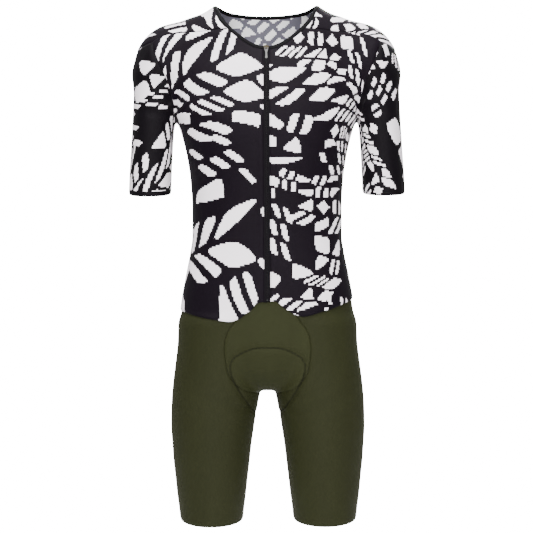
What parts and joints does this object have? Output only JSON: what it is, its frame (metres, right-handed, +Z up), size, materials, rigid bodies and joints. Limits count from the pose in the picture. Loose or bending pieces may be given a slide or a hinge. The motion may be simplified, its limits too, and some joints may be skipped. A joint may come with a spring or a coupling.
{
  "type": "cycling aerosuit",
  "caption": "Cycling aerosuit as worn: zipped short-sleeved printed top sewn over knee-length olive shorts with a seat pad.",
  "frame": {"origin": "between the wearer's shoulders, at the height of their outer ends, where the shoulders carry the suit", "axes": "+Z up along the standing wearer, +Y towards the wearer's back, so that the wearer faces -Y"},
  "size_m": [0.5158, 0.2308, 0.9676],
  "materials": {
    "printed_knit": "matte printed knit, black and off-white",
    "black_trim": "matte black woven tape and binding",
    "olive_knit": "smooth olive knit with a faint sheen",
    "pad_fabric": "soft brushed padding",
    "slider_metal": "satin metal",
    "pull_metal": "satin metal"
  },
  "bodies": {
    "garment": {"front_left": "printed_knit", "front_right": "printed_knit", "back": "printed_knit", "sleeve_left": "printed_knit", "sleeve_right": "printed_knit", "neck_binding": "black_trim", "zip_tape_left": "black_trim", "zip_tape_right": "black_trim", "leg_left": "olive_knit", "leg_right": "olive_knit", "shorts_front": "olive_knit", "pad": "pad_fabric", "zip_slider": "slider_metal"},
    "pull_tab": {"zip_pull": "pull_metal"}
  },
  "joints": [
    {"name": "pull_swing", "type": "hinge", "parent": "garment", "child": "pull_tab", "pos_m": [0, -0.07643, -0.05448], "axis": [-1, 0, 0], "range_deg": [0, 120]}
  ]
}
